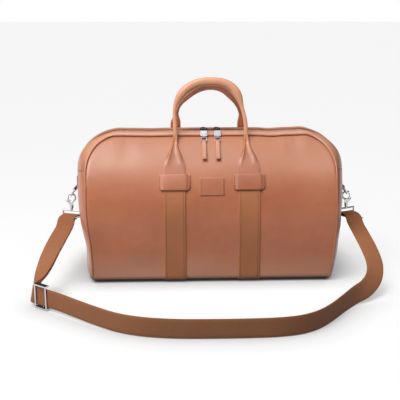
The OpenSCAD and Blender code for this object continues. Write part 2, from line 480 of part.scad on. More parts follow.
front_panel();
back_panel();
bottom_panel();
end_panel_left();
end_panel_right();
lining();
base_board();
piping_front();
piping_back();
gusset_front();
gusset_back();
gusset_front_left();
gusset_front_right();
gusset_back_left();
gusset_back_right();
zip_tape_front();
zip_tape_back();
zip_teeth_front();
zip_teeth_back();
zip_end_left();
zip_end_right();
zip_chain_left();
zip_chain_right();
zip_slider_left();
zip_slider_right();
pull_plate_left();
pull_plate_right();
pull_link_left();
pull_link_right();
pull_tab_left();
pull_tab_right();
band_front_left();
band_front_right();
band_back_left();
band_back_right();
keeper_front_left();
keeper_front_right();
keeper_back_left();
keeper_back_right();
patch();
handle_tab_front_left();
handle_tab_front_right();
handle_tab_back_left();
handle_tab_back_right();
handle_front();
handle_back();
chape_left();
chape_right();
dring_left();
dring_right();
hook_left();
hook_right();
gate_left();
gate_right();
eye_left();
eye_right();
strap();
strap_return();
adjuster();
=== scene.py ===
"""Weekender bag in smooth leather: the looks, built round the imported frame.

Shapes are worked out in millimetres, in the frame's own axes, and become metres in build().
"""
import math

import bmesh
import bpy
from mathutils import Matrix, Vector, noise


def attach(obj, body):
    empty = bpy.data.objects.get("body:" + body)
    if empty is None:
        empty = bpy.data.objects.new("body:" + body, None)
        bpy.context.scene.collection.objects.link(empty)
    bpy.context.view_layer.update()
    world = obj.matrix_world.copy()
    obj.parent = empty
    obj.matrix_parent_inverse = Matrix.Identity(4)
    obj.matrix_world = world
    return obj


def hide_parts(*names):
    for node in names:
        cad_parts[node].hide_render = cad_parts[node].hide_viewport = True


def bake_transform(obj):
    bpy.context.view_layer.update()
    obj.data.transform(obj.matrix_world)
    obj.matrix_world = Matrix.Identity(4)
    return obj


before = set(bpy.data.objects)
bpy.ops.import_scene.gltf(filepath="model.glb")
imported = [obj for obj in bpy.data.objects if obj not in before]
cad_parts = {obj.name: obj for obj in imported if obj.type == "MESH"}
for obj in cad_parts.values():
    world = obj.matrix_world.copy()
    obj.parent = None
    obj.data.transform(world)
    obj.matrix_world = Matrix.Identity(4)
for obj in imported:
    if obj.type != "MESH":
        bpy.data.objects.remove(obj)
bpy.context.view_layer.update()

MM = 0.001
FRONT, BACK = -1, 1
LEFT, RIGHT = -1, 1
SIDE_NAME = {FRONT: "front", BACK: "back"}
END_NAME = {LEFT: "left", RIGHT: "right"}

# ---- sizes of the body, as in the frame
SEAM_Z = 259.0  # top seams
FULL_Z = 90.0  # where the front is fullest
HALF_DEPTH = 118.0
HALF_TOP = 36.0
EDGE_R = 14.0  # rolled bottom edge
CORNER_X, CORNER_Z, CORNER_R = 172.0, 205.0, 54.0
CROWN_X, CROWN_CZ, CROWN_A, CROWN_B = 165.0, 196.0, 85.0, 69.0
HALF_LENGTH = 250.0
STRAIGHT_Z = 150.0  # the ends stand straight above this height
ZIP_HALF = 160.0
BAND_X, BAND_W, BAND_TOP = 67.0, 39.0, 183.0
KEEPER_Z0, KEEPER_Z1, KEEPER_W, KEEPER_R = 170.0, 196.0, 57.0, 7.0
PATCH_W, PATCH_H, PATCH_Z, PATCH_R = 44.0, 30.0, 161.0, 1.6
PIPING_R, PIPING_OUT = 1.8, 0.8  # the cord stands this far outside the seam line
THIN_R, THIN_IN = 1.5, 0.3  # down the sides it is thinner, and inside the line
INSET = 1.1  # from the seam line to the edge of the front's leather
TAPE_Z = 260.8
PANEL_Z = 6.4  # lower edge of the front's and back's leather
PANEL_T, STRIP_T, BASE_T, LINING_T = 2.3, 2.1, 2.4, 1.2
FLOOR_Z = 7.4  # top of the lining's floor
SEAM_IN = 3.2  # the ends and the gusset stop this far inside the front's face
FLAP_Y, FLAP_Z = 17.0, 265.0  # the gusset's strips end this far from the middle, at this height


def ease(a, b, x):
    """0 before a, 1 after b, and a smooth step between."""
    t = min(1.0, max(0.0, (x - a) / (b - a)))
    return t * t * (3 - 2 * t)


def bell(x, centre, width):
    return math.exp(-(((x - centre) / width) ** 2))


def steps(a, b, n):
    return [a + (b - a) * i / (n - 1) for i in range(n)]


def sines(angles):
    return [math.sin(math.radians(a)) for a in angles]


# ---- shape of the body
def rolled(z):
    """How far the rolled bottom edge draws in at height z."""
    return EDGE_R - math.sqrt(EDGE_R**2 - (EDGE_R - z) ** 2) if z < EDGE_R else 0.0


def half_depth(z):
    y = max(z, EDGE_R)
    if y > FULL_Z:
        d = HALF_DEPTH - (HALF_DEPTH - HALF_TOP) * ((y - FULL_Z) / (SEAM_Z - FULL_Z)) ** 2.6
    else:
        d = HALF_DEPTH - 4 * ((FULL_Z - y) / FULL_Z) ** 2
    return d - rolled(z)


def normal(z):
    """Outward normal of the front or back at height z: (away from the middle, up)."""
    s = half_depth(z + 0.5) - half_depth(max(z - 0.5, 0.2))
    long = math.hypot(1, s)
    return 1 / long, -s / long


def taper(z, depth, power):
    return depth * (max(0.0, STRAIGHT_Z - z) / STRAIGHT_Z) ** power


def seam_x(z):
    """Half width of the front's outline at height z, below and through its round corner."""
    if z > CORNER_Z:
        return CORNER_X + math.sqrt(max(0.0, CORNER_R**2 - (z - CORNER_Z) ** 2))
    corner = 7 * (1 - math.sqrt(1 - ((20 - z) / 20) ** 2)) if z < 20 else 0
    return CORNER_X + CORNER_R - taper(z, 10, 1.4) - corner


def end_x(z):
    return HALF_LENGTH - taper(z, 15, 1.3) - rolled(z)


def bulge(t):
    return max(0.0, 1 - t * t) ** 0.6


def settle(p):
    """Where a point of the soft leather ends up: the shape gives a little under its own weight."""
    x, y, z = p
    side = 1 if y > 0 else -1
    end = 1 if x > 0 else -1
    # the front and back fall in a little between the bands and towards the ends
    free = ease(8, 40, z) * ease(255, 215, z) * ease(235, 190, abs(x)) * ease(45, 60, abs(y))
    give = 1.5 + 1.8 * noise.noise(Vector((x * 0.010 + 4.2 * side, z * 0.013, 2.7 * side)))
    give += 1.1 * bell(abs(x), 160, 26) * bell(z, 120, 70)
    # fine ripples under the right half of the top seam
    ripple = bell(x, 120, 30) * bell(z, 243, 9) * 0.8 * math.sin(x * 0.42 + side)
    y -= side * (free * give + ripple * ease(30, 40, abs(y)))
    # a shallow hollow where each zip pull ends up
    y -= side * 1.3 * bell(abs(x), 152, 15) * bell(z, 243, 22) * ease(30, 40, abs(y))
    # the ends dent low down, the left one more
    at_end = ease(195, 236, abs(x)) * ease(10, 35, z)
    dent = 3.6 * bell(z, 55, 40) if end < 0 else -1.6 * bell(z, 60, 45)
    dent += 1.5 * noise.noise(Vector((y * 0.02 + 9 * end, z * 0.024, 5.0 * end))) * ease(140, 118, z)
    crease = bell(z - 0.45 * (y + 60), 62 if end < 0 else 78, 6) * bell(y, -55, 50)
    dent += (1.7 if end < 0 else 0.8) * crease
    x -= end * at_end * dent
    # the rims wave a little, more on the right
    wave = -1.5 * bell(x, 114, 18) + 1.4 * bell(x, 178, 17)
    wave += -0.7 * bell(x, -112, 22) + 0.5 * bell(x, -176, 18)
    z += wave * ease(222, 256, z) * ease(205, 175, abs(x))
    return x, y, z


def face(x, z, off, side):
    """A point of the front or back at (x, z), off millimetres outside the leather."""
    away, up = normal(z)
    return [x, side * (half_depth(z) + off * away), z + off * up]


# ---- meshes
def build(name, points, faces, material, body=None, slot="leather", nodes=(), soft=True, weave=None,
          sharp=35):
    """A mesh object from points in millimetres, riding on body if one is given."""
    if soft:
        points = [settle(p) for p in points]
    mesh = bpy.data.meshes.new(name)
    mesh.from_pydata([(x * MM, y * MM, z * MM) for x, y, z in points], [], faces)
    if weave:
        layer = mesh.attributes.new("weave", "FLOAT_VECTOR", "POINT")
        layer.data.foreach_set("vector", [c * MM for w in weave for c in (w[0], w[1], 0)])
    edit = bmesh.new()
    edit.from_mesh(mesh)
    bmesh.ops.recalc_face_normals(edit, faces=edit.faces)
    edit.to_mesh(mesh)
    edit.free()
    mesh.shade_smooth()
    mesh.set_sharp_from_angle(angle=math.radians(sharp))
    obj = bpy.data.objects.new(name, mesh)
    bpy.context.scene.collection.objects.link(obj)
    mesh.materials.append(material)
    if body:
        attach(obj, body)
    if nodes:
        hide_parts(*nodes)
    return obj


def slab(outer, inner):
    """Points and faces of a closed piece between two grids of the same size."""
    rows, cols = len(outer), len(outer[0])
    n = rows * cols
    points = [p for row in outer for p in row] + [p for row in inner for p in row]
    faces = []
    for i in range(rows - 1):
        for j in range(cols - 1):
            a = i * cols + j
            faces.append((a, a + 1, a + cols + 1, a + cols))
            faces.append((n + a, n + a + cols, n + a + cols + 1, n + a + 1))
    rim = [(0, j) for j in range(cols)] + [(i, cols - 1) for i in range(1, rows)]
    rim += [(rows - 1, j) for j in range(cols - 2, -1, -1)] + [(i, 0) for i in range(rows - 2, 0, -1)]
    for k, (i, j) in enumerate(rim):
        a, b = i * cols + j, rim[(k + 1) % len(rim)][0] * cols + rim[(k + 1) % len(rim)][1]
        faces.append((a, n + a, n + b, b))
    return points, faces


def add_tube(points, faces, rings):
    """Add a closed tube through rings of points."""
    base, last, cols = len(points), len(rings) - 1, len(rings[0])
    points += [tuple(p) for ring in rings for p in ring]
    faces.append(tuple(base + j for j in range(cols)))
    faces.append(tuple(base + last * cols + j for j in reversed(range(cols))))
    for i in range(last):
        a, b = base + i * cols, base + (i + 1) * cols
        faces += [(a + j, b + j, b + (j + 1) % cols, a + (j + 1) % cols) for j in range(cols)]


def tube(rings):
    points, faces = [], []
    add_tube(points, faces, rings)
    return points, faces


def pot(outer, inner):
    """Points and faces of an open pot from rings of points, with its floor at the first ring."""
    rows, n = len(outer), len(outer[0])
    points = [p for ring in outer + inner for p in ring]
    after = [(j + 1) % n for j in range(n)]
    faces = []
    for g in (0, rows * n):
        faces.append(tuple(g + j for j in range(n)))
        for i in range(rows - 1):
            a, b = g + i * n, g + (i + 1) * n
            faces += [(a + j, a + k, b + k, b + j) for j, k in enumerate(after)]
    a, b = (rows - 1) * n, (2 * rows - 1) * n
    faces += [(a + j, a + k, b + k, b + j) for j, k in enumerate(after)]
    return points, faces


def curve_through(points, m):
    """A smooth line through points with uneven spaces, m steps from each to the next."""
    pts = [Vector(p) for p in points]
    pts = [2 * pts[0] - pts[1], *pts, 2 * pts[-1] - pts[-2]]
    out = []
    for a, b, c, d in zip(pts, pts[1:], pts[2:], pts[3:]):
        t0 = 0.0
        t1 = t0 + max(1e-6, (b - a).length) ** 0.5
        t2 = t1 + max(1e-6, (c - b).length) ** 0.5
        t3 = t2 + max(1e-6, (d - c).length) ** 0.5
        for k in range(m):
            t = t1 + (t2 - t1) * k / m
            ab = a * ((t1 - t) / (t1 - t0)) + b * ((t - t0) / (t1 - t0))
            bc = b * ((t2 - t) / (t2 - t1)) + c * ((t - t1) / (t2 - t1))
            cd = c * ((t3 - t) / (t3 - t2)) + d * ((t - t2) / (t3 - t2))
            abc = ab * ((t2 - t) / (t2 - t0)) + bc * ((t - t0) / (t2 - t0))
            bcd = bc * ((t3 - t) / (t3 - t1)) + cd * ((t - t1) / (t3 - t1))
            out.append(abc * ((t2 - t) / (t2 - t1)) + bcd * ((t - t1) / (t2 - t1)))
    return out + [pts[-2]]


def tangents(line):
    last = len(line) - 1
    return [(line[min(i + 1, last)] - line[max(i - 1, 0)]).normalized() for i in range(last + 1)]


def lengths(line):
    out = [0.0]
    for a, b in zip(line, line[1:]):
        out.append(out[-1] + (b - a).length)
    return out


# along the stitch, thickness and rise
STITCH = [(-0.5, 0.45, -0.3), (-0.34, 0.95, 0.55), (0, 1.0, 0.8), (0.34, 0.95, 0.55), (0.5, 0.45, -0.3)]
SINK = 0.1  # how deep a stitch's line lies


def sewing(name, runs, body, pitch=3.4, stitch=2.5, r=0.32, soft=True, material=None):
    """Stitches along runs, each a list of (point, outward normal), as one piece."""
    points, faces = [], []
    for run in runs:
        line = [Vector(p) for p, _ in run]
        up = [Vector(n).normalized() for _, n in run]
        along = lengths(line)
        count = max(1, int(along[-1] / pitch))
        k = 0
        for s in range(count):
            middle = along[-1] * (s + 0.5) / count
            while k < len(line) - 2 and along[k + 1] < middle:
                k += 1
            f = (middle - along[k]) / max(1e-6, along[k + 1] - along[k])
            n = (up[k] * (1 - f) + up[k + 1] * f).normalized()
            t = (line[k + 1] - line[k]).normalized()
            b = t.cross(n).normalized()
            c = line[k] * (1 - f) + line[k + 1] * f - n * SINK
            turns = [math.radians(a) for a in range(0, 360, 60)]
            add_tube(points, faces, [[c + t * (u * stitch) + b * (math.cos(q) * r * w)
                                      + n * (math.sin(q) * r * w + rise * r) for q in turns]
                                     for u, w, rise in STITCH])
    return build(name, points, faces, material or THREAD, body, "leather", soft=soft)


def side_runs(x, half, lift, tilt, side, heights):
    """Lines of stitches up both sides of a piece on the front or back, half from its middle x."""
    return [[(face(x + k * half, z, lift, side), (0, side, tilt)) for z in heights] for k in (-1, 1)]


# ---- materials
RIB, ROW = 0.0014, 0.0011  # spacing of the webbing's ribs and of its threads, metres


def linear(r, g, b):
    """Screen colour, each part from 11 to 255, as linear light."""
    return tuple(((c / 255 + 0.055) / 1.055) ** 2.4 for c in (r, g, b)) + (1.0,)


class Nodes:
    """A node tree with short ways to add nodes. A value may be a number, a colour or a socket."""

    def __init__(self, name, world=None):
        self.material = world or bpy.data.materials.new(name)
        self.material.use_nodes = True
        self.tree = self.material.node_tree
        self.shader = self.tree.nodes["Background" if world else "Principled BSDF"]

    def put(self, socket, value):
        if isinstance(value, bpy.types.NodeSocket):
            self.tree.links.new(value, socket)
        else:
            socket.default_value = value

    def add(self, kind, sockets=(), **settings):
        node = self.tree.nodes.new(kind)
        for key, value in settings.items():
            setattr(node, key, value)
        for key, value in dict(sockets).items():
            self.put(node.inputs[key], value)
        return node

    def set(self, **values):
        for key, value in values.items():
            self.put(self.shader.inputs[key.replace("_", " ")], value)

    def place(self, kind="Object"):
        return self.add("ShaderNodeTexCoord").outputs[kind]

    def split(self, vector):
        return self.add("ShaderNodeSeparateXYZ", {0: vector}).outputs

    def noise(self, vector, scale, detail, rough):
        sockets = {"Vector": vector, "Scale": scale, "Detail": detail, "Roughness": rough}
        return self.add("ShaderNodeTexNoise", sockets).outputs["Fac"]

    def span(self, value, a, b, c, d):
        """value carried over from the span a to b to the span c to d."""
        sockets = {"Value": value, "From Min": a, "From Max": b, "To Min": c, "To Max": d}
        return self.add("ShaderNodeMapRange", sockets).outputs["Result"]

    def math(self, kind, *values):
        return self.add("ShaderNodeMath", enumerate(values), operation=kind).outputs[0]

    def blend(self, factor, a, b):
        return self.add("ShaderNodeMix", {0: factor, 6: a, 7: b}, data_type="RGBA").outputs[2]

    def bump(self, height, strength, distance, before=None):
        sockets = {"Height": height, "Strength": strength, "Distance": distance}
        if before:
            sockets["Normal"] = before
        return self.add("ShaderNodeBump", sockets).outputs["Normal"]


def darker(colour, by):
    return tuple(c * by for c in colour[:3]) + (1.0,)


def leather(name, light, dark, rough=(0.36, 0.47), grain=0.35, coat=0.36, painted_light=()):
    """Smooth full-grain leather: fine pores, soft creases and slow changes of tone.

    The tones in the last argument are painted light and shade by height: (tone, two heights, how much of it
    at each of them).
    """
    m = Nodes(name)
    at = m.place()
    slow = m.noise(at, 9, 3, 0.55)
    mottle = m.noise(at, 70, 4, 0.6)
    tone = m.math("ADD", m.math("MULTIPLY", slow, 0.7), m.math("MULTIPLY", mottle, 0.3))
    colour = m.blend(m.span(tone, 0.36, 0.64, 0, 1), dark, light)
    height = m.math("ADD", m.split(at)[2], m.span(slow, 0.3, 0.7, -0.012, 0.012))
    # Painted light and shade: each tone is blended in by height.
    for painted_tone, *heights in painted_light:
        colour = m.blend(m.span(height, *heights), colour, painted_tone)
    pores = m.add("ShaderNodeTexVoronoi", {"Vector": at, "Scale": 1100}, feature="DISTANCE_TO_EDGE")
    pebble = m.span(pores.outputs["Distance"], 0.0, 0.22, 0, 1)
    creased = m.bump(m.noise(at, 42, 5, 0.62), 0.16, 0.0012)
    m.set(Base_Color=m.blend(m.span(pebble, 0, 1, 0.10, 0), colour, darker(dark, 0.55)),
          Roughness=m.span(m.noise(at, 260, 3, 0.6), 0.3, 0.7, *rough),
          Normal=m.bump(pebble, grain, 0.00009, creased),
          Coat_Weight=coat, Coat_Roughness=0.28, IOR=1.5)
    return m.material


def webbing(name, light, dark):
    """Tightly woven webbing: ribs across, with finer threads along it."""
    m = Nodes(name)
    across, along, _ = m.split(m.add("ShaderNodeAttribute", attribute_name="weave").outputs["Vector"])
    rib = m.math("SINE", m.math("MULTIPLY", along, 2 * math.pi / RIB))
    row = m.math("SINE", m.math("MULTIPLY", across, 2 * math.pi / ROW))
    weft = m.math("MULTIPLY", rib, m.span(row, -1, 1, 0.55, 1))
    height = m.math("ADD", m.math("MULTIPLY", weft, 0.6), m.math("MULTIPLY", row, 0.4))
    fuzz = m.math("ADD", m.noise(m.place(), 700, 3, 0.6), m.noise(m.place(), 24, 3, 0.5))
    shade = m.math("ADD", m.span(height, -1, 1, 0, 0.55), m.math("MULTIPLY", fuzz, 0.28))
    m.set(Base_Color=m.blend(m.span(shade, 0.15, 0.9, 0, 1), dark, light),
          Normal=m.bump(height, 0.5, 0.00022), Roughness=0.72,
          Sheen_Weight=0.25, Sheen_Roughness=0.5, Sheen_Tint=light)
    return m.material


def metal(name, colour, rough=0.12):
    m = Nodes(name)
    at = m.place()
    m.set(Roughness=m.span(m.noise(at, 180, 4, 0.6), 0.3, 0.7, rough, rough + 0.1),
          Base_Color=m.blend(m.noise(at, 60, 2, 0.5), colour, darker(colour, 0.93)),
          Normal=m.bump(m.noise(at, 500, 2, 0.5), 0.05, 0.0001), Metallic=1.0)
    return m.material


def cloth(name, light, dark, thread):
    """Plain woven cloth from two crossed waves in the object's own frame."""
    m = Nodes(name)
    at = m.place()
    x, y, z = m.split(at)
    k = 2 * math.pi / thread
    a = m.math("SINE", m.math("MULTIPLY", x, k))
    b = m.math("SINE", m.math("MULTIPLY", m.math("ADD", y, z), k))
    height = m.math("MULTIPLY", a, b)
    mottle = m.math("MULTIPLY", m.noise(at, 90, 4, 0.6), 0.4)
    m.set(Base_Color=m.blend(m.math("ADD", m.span(height, -1, 1, 0, 0.6), mottle), dark, light),
          Normal=m.bump(height, 0.5, thread * 0.12), Roughness=0.8, Sheen_Weight=0.2)
    return m.material


def board(name):
    m = Nodes(name)
    at = m.place()
    m.set(Base_Color=m.blend(m.noise(at, 300, 4, 0.6), linear(34, 30, 28), linear(52, 46, 42)),
          Normal=m.bump(m.noise(at, 900, 2, 0.5), 0.3, 0.0002), Roughness=0.7)
    return m.material


# Painted light on the body leather: paler low down as a painted reflection of the floor, and a less
# saturated tone over the upper part as a painted sheen.
LEATHER = leather("tan_leather", linear(214, 131, 93), linear(200, 117, 82),
                  painted_light=[(linear(222, 157, 126), 0.010, 0.062, 0.85, 0),
                        (linear(198, 130, 94), 0.150, 0.225, 0, 0.8)])
# Painted highlight: the trim is painted paler along the top, above about 200 mm.
TRIM = leather("tan_trim", linear(208, 132, 98), linear(190, 114, 82), rough=(0.34, 0.46),
               painted_light=[(linear(226, 166, 136), 0.200, 0.245, 0, 0.8)])
# Painted light: the handle leather is painted much paler than the body's to stand in for the strong light on
# the handles; below about 235 mm, on the sewn ends, it goes back to a darker tone.
GRIP_LIT = leather("tan_grip_painted_light", linear(249, 180, 138), linear(238, 166, 126),
               painted_light=[(linear(192, 118, 84), 0.235, 0.275, 1, 0)])
# Painted shade: the base is coloured dark to stand in for the shadow under the bag.
SHADED_BASE = leather("base_painted_shade", linear(92, 58, 44), linear(70, 44, 34), rough=(0.5, 0.62), coat=0.0)
# Lit and shaded copies of one webbing: the bands' copy is painted lighter and the strap's copy is painted
# darker, for the light each gets.
WEB = webbing("tan_webbing", linear(214, 136, 88), linear(178, 107, 66))
STRAP_WEB_SHADED = webbing("strap_webbing_painted_shade", linear(176, 112, 72), linear(138, 85, 52))
TAPE = cloth("zip_tape_cloth", linear(200, 142, 120), linear(164, 110, 92), 0.0012)
LINING = cloth("lining_cloth", linear(120, 88, 66), linear(84, 60, 46), 0.0016)
CHROME = metal("chrome", (0.62, 0.62, 0.64, 1.0))
TEETH = metal("zip_metal", (0.84, 0.72, 0.65, 1.0), rough=0.42)
BOARD = board("stiff_board")
WAXED = {"rough": (0.6, 0.7), "grain": 0.1, "coat": 0.0}
THREAD = leather("thread", linear(170, 106, 76), linear(140, 84, 58), **WAXED)
DARK_THREAD = leather("dark_thread", linear(96, 56, 40), linear(72, 42, 30), **WAXED)


# ---- camera
def bearing(turn, height):
    """The direction turn degrees to the right of the front and height degrees up."""
    a, e = math.radians(turn), math.radians(height)
    return Vector((math.sin(a) * math.cos(e), -math.cos(a) * math.cos(e), math.sin(e)))


def stand(name, data, at, towards):
    """Put a camera or a light at a place, aimed along a direction."""
    obj = bpy.data.objects.new(name, data)
    obj.location = at
    obj.rotation_euler = towards.to_track_quat("-Z", "Y").to_euler()
    bpy.context.scene.collection.objects.link(obj)
    return obj


TARGET, DISTANCE = Vector((0, 0, 0.127)), 1.5


def camera():
    back = bearing(-2.2, 13.5)
    data = bpy.data.cameras.new("view")
    data.lens, data.sensor_width, data.shift_x = 69.7, 36, -0.0245
    bpy.context.scene.camera = stand("view", data, TARGET + back * DISTANCE, -back)


# ---- strap
STRAP_W, STRAP_T = 32.0, 1.6
FINE = 8  # steps between two points of a strap's line
TURN_L, TURN_R = -20, 25  # how far each eye is turned about its post, degrees
RIGHT_END = 56  # length of the piece that follows the right eye
HOOK_X, EYE_Z, BAR_R = 266.5, 99.0, 2.8
UP = Vector((0, 0, 1))
ADJUSTER = Vector((-288, -236, 21.6))
RUN = Vector((0.768, -0.64, 0)).normalized()
# the floor stretch and the two ramps, left to right: points and the direction of the width
LEFT_RAMP = [(-273, -58, 93), (-280, -100, 81), (-289, -138, 64), (-296, -172, 46), (-301, -200, 31)]
LEFT_WIDTH = [(0.99, -0.12, 0), (1, 0, 0.02), (0.98, 0.05, 0.2), (0.85, 0.1, 0.52), (0.55, 0.1, 0.83)]
FLOOR_RUN = [(-190, -317, 18.4), (-156, -340, 16.6), (-118, -357, 16.4), (-70, -367, 16.4),
             (-14, -370, 16.4), (42, -370, 16.4), (92, -367, 16.4), (128, -358, 16.4),
             (156, -340, 16.4), (182, -311, 16.4)]
RIGHT_RAMP = [(208, -275, 16.8), (234, -243, 19), (259, -219, 23), (278, -192, 33), (286, -162, 47),
              (284, -130, 63), (278, -92, 80), (274, -55, 92)]
RIGHT_WIDTH = [(-0.05, 0, 1), (-0.25, 0, 0.97), (-0.6, 0, 0.8), (-0.86, -0.05, 0.5), (-0.97, -0.08, 0.2),
               (-0.99, -0.12, 0.05), (-0.98, -0.2, 0), (-0.95, -0.3, 0)]


def eye_frame(turn, end):
    """Centre of an eye's lower bar, the way the strap leaves it, and the strap's width there."""
    a = math.radians(turn)
    centre = Vector((end * HOOK_X, 0, EYE_Z))
    out = Vector((math.sin(a), -math.cos(a), 0))
    wide = Vector((math.cos(a), math.sin(a), 0)) * (-end)
    return centre, out, wide


def eye_wrap(c, out):
    """Points round an eye's lower bar, from below it and over it to the layer that leads away."""
    bend = [(0, -1), (-0.7, -0.7), (-1, 0), (-0.7, 0.7), (0, 1)]
    wrap = [c + out * (a * BAR_R) + UP * (b * BAR_R) for a, b in bend]
    return wrap + [c + out * 6 + UP * BAR_R, c + out * 20 + UP * 1.2]


def strap_points():
    """Points and widths of the main layer, from the left eye to the right one."""
    c, out, wide = eye_frame(TURN_L, LEFT)
    pts = eye_wrap(c, out)
    widths = [wide] * len(pts)
    pts += [Vector(p) for p in LEFT_RAMP]
    widths += [Vector(w) for w in LEFT_WIDTH]
    pts += [ADJUSTER - RUN * 24 + UP * 0.8, ADJUSTER - RUN * 12, ADJUSTER, ADJUSTER + RUN * 12,
            ADJUSTER + RUN * 45, ADJUSTER + RUN * 80 - UP * 1.4]
    widths += [Vector((0.16, 0, 0.98))] + [UP] * 5
    pts += [Vector(p) for p in FLOOR_RUN]
    widths += [UP] * len(FLOOR_RUN)
    pts += [Vector(p) for p in RIGHT_RAMP]
    widths += [Vector(w) for w in RIGHT_WIDTH]
    c, out, wide = eye_frame(TURN_R, RIGHT)
    tail = eye_wrap(c, out)[::-1]
    tail += [c + out * 8 - UP * (BAR_R - 0.3), c + out * 20 - UP * 2.2, c + out * 34 - UP * 4.6]
    pts += tail
    widths += [wide] * len(tail)
    return pts, widths


def webbing_rings(line, widths):
    """Rings of the flat strap along line, and the weave's coordinates for them."""
    half, t = STRAP_W / 2, STRAP_T / 2
    across = [-half, -half + 0.25, -half + 0.8, -half * 0.6, -half * 0.2]
    across += [-a for a in reversed(across)]
    lift = [0, 0.7, 1, 1, 1, 1, 1, 1, 0.7, 0]
    rings, weave = [], []
    for p, t_dir, w, s in zip(line, tangents(line), widths, lengths(line)):
        u = (w - t_dir * w.dot(t_dir)).normalized()
        n = t_dir.cross(u)
        ring = [p + u * a + n * (t * h) for a, h in zip(across, lift)]
        ring += [p + u * a - n * (t * h) for a, h in zip(across[-2:0:-1], lift[-2:0:-1])]
        rings.append(ring)
        weave += [(a, s) for a in across + across[-2:0:-1]]
    return rings, weave


def strap_piece(name, line, widths, nodes=()):
    rings, weave = webbing_rings(line, widths)
    return build(name, *tube(rings), STRAP_WEB_SHADED, slot="webbing", nodes=nodes, soft=False, weave=weave, sharp=60)


def strap():
    """The strap in pieces: the main run, the end at the right eye and the two parts of the layer back from
    the left eye, with the stitches at the right eye.
    """
    pts, widths = strap_points()
    line = curve_through(pts, FINE)
    widths = [w.normalized() for w in curve_through(widths, FINE)]
    end = eye_frame(TURN_R, RIGHT)[0]
    cut = next(i for i, p in enumerate(line) if i > len(line) // 2 and (p - end).length < RIGHT_END)
    main = strap_piece("strap_webbing", line[:cut + 1], widths[:cut + 1], ["strap"])
    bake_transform(main)
    right = strap_piece("strap_end_right", line[cut:], widths[cut:])
    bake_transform(right)
    upper, lower = strap_return()
    strap_stitches()


def strap_return():
    """The layer that runs back from the left eye and is sewn round the middle bar of the adjuster."""
    pts, widths = strap_points()
    ns = [t.cross(w).normalized() for t, w in zip(tangents(pts), widths)]
    c, out, wide = eye_frame(TURN_L, LEFT)
    gaps = {6: 4.4, 10: 3.2, 11: 3.2, 12: 3.2}
    line = [c + out * 9 - UP * (BAR_R - 0.4)] + [pts[i] - ns[i] * gaps.get(i, 2.6) for i in range(6, 13)]
    n = ns[14]
    line += [ADJUSTER - RUN * 8 - n * 3.4, ADJUSTER - RUN * 4 - n * 5.6, ADJUSTER - n * 6.2,
             ADJUSTER + RUN * 2.6 - n * 5.2, ADJUSTER + RUN * 3.1 - n * 3.2]
    fine = curve_through(line, FINE)
    fine_w = [w.normalized() for w in curve_through([wide] + widths[6:13] + [UP] * 5, FINE)]
    middle = 4 * FINE
    upper = strap_piece("strap_return_upper", fine[:middle + 1], fine_w[:middle + 1], ["strap_return"])
    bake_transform(upper)
    lower = strap_piece("strap_return_lower", fine[middle:], fine_w[middle:])
    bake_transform(lower)
    return upper, lower


def strap_stitches():
    """Box stitching through the folded end at the right eye."""
    c, out, wide = eye_frame(TURN_R, RIGHT)

    def spot(s, w):
        return c + out * s + wide * w + UP * (BAR_R + 0.9 - 0.11 * (s - 6)), UP

    runs = [[spot(s, k * 12.5) for s in (9, 14, 20)] for k in (-1, 1)]
    runs += [[spot(s, k * 12.5) for k in (-1, 0, 1)] for s in (9, 20)]
    return sewing("strap_end_stitches", runs, "ring_right", soft=False)


# ---- leather body
LEVELS = [PANEL_Z, 7.4, 8.8, 10.6, 12.8, 15.6] + steps(19, 200, 30)
LEVELS += [CORNER_Z + (CORNER_R - INSET) * math.cos(math.radians(a)) for a in range(88, 0, -4)]
LEVELS += [SEAM_Z - INSET]


def edge_gap(x, z):
    """Distance of a point of the front from the edge of its panel."""
    if z > CORNER_Z and abs(x) > CORNER_X:
        return max(0.0, CORNER_R - INSET - math.hypot(abs(x) - CORNER_X, z - CORNER_Z))
    top = SEAM_Z - INSET - z
    return max(0.0, min(seam_x(z) - INSET - abs(x), top, (z - PANEL_Z) * 1.6))


def panel(side):
    """Front or back: one sheet whose edges roll in to the piping."""
    across = sines([-90, -88.6, -86.5, -83.5, -80] + steps(-76, 76, 65) + [80, 83.5, 86.5, 88.6, 90])

    def point(u, z, off):
        half = seam_x(z) - INSET
        if z > CORNER_Z:
            half = CORNER_X + math.sqrt(max(0, (CORNER_R - INSET) ** 2 - (z - CORNER_Z) ** 2))
        x = half * u
        roll = (0.5 + 0.9 * ease(180, 225, z)) * math.exp(-((edge_gap(x, z) / 1.5) ** 1.3))
        return face(x, z, off - roll, side)

    outer = [[point(u, z, 0) for u in across] for z in LEVELS]
    inner = [[point(u, z, -PANEL_T) for u in across] for z in LEVELS]
    name = SIDE_NAME[side]
    return build(f"{name}_leather", *slab(outer, inner), LEATHER, "bag", nodes=[f"{name}_panel"])


def end_point(end, v, t, off):
    top = CORNER_Z + (CROWN_CZ - CORNER_Z) * bulge(t) - 0.3
    z = 6.2 + (top - 6.2) * v
    roll = 1.6 * math.exp(-((1 - abs(t)) / 0.025))
    away = seam_x(z) + (end_x(z) - seam_x(z)) * bulge(t) - off - roll
    return [end * away, t * (half_depth(z) - SEAM_IN - off * 0.6), z]


def end_panel(end):
    tall = [0, 0.008, 0.02, 0.035, 0.055] + steps(0.08, 1, 34)
    deep = sines(steps(-90, 90, 41))
    outer = [[end_point(end, v, t, 0) for t in deep] for v in tall]
    inner = [[end_point(end, v, t, PANEL_T) for t in deep] for v in tall]
    name = END_NAME[end]
    return build(f"end_leather_{name}", *slab(outer, inner), LEATHER, "bag", nodes=[f"end_panel_{name}"])


